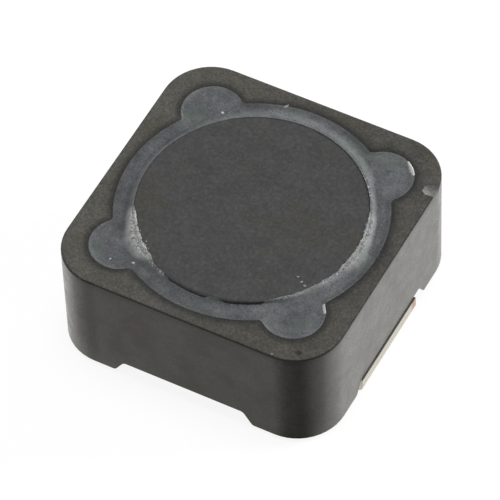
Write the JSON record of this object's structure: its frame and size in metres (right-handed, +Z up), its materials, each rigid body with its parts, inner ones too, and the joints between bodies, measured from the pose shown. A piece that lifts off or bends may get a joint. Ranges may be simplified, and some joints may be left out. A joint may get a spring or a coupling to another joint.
{
  "type": "shielded surface-mount power inductor",
  "caption": "Square shielded power inductor for surface mounting: a wound ferrite drum bonded inside a ferrite shield, on a moulded base with flat solder terminals.",
  "frame": {"origin": "middle of the footprint, on the solder plane where the terminal pads meet the board", "axes": "+Z up through the drum's axis, X across the two terminals, from the left one to the right one, Y along the terminals' width"},
  "size_m": [0.0124, 0.0122, 0.0054],
  "materials": {
    "shield_ferrite": "matte",
    "drum_ferrite": "matte",
    "enamelled_wire": "gloss",
    "base_moulding": "satin",
    "tinned_strip": "satin",
    "solder": "satin",
    "gap_epoxy": "satin",
    "bond_epoxy": "satin"
  },
  "bodies": {
    "root": {"shield_core": "shield_ferrite", "drum_core": "drum_ferrite", "winding": "enamelled_wire", "base_plate": "base_moulding", "left_terminal": "tinned_strip", "right_terminal": "tinned_strip", "left_solder_joint": "solder", "right_solder_joint": "solder", "gap_adhesive": "gap_epoxy", "drum_adhesive": "bond_epoxy"}
  },
  "joints": []
}
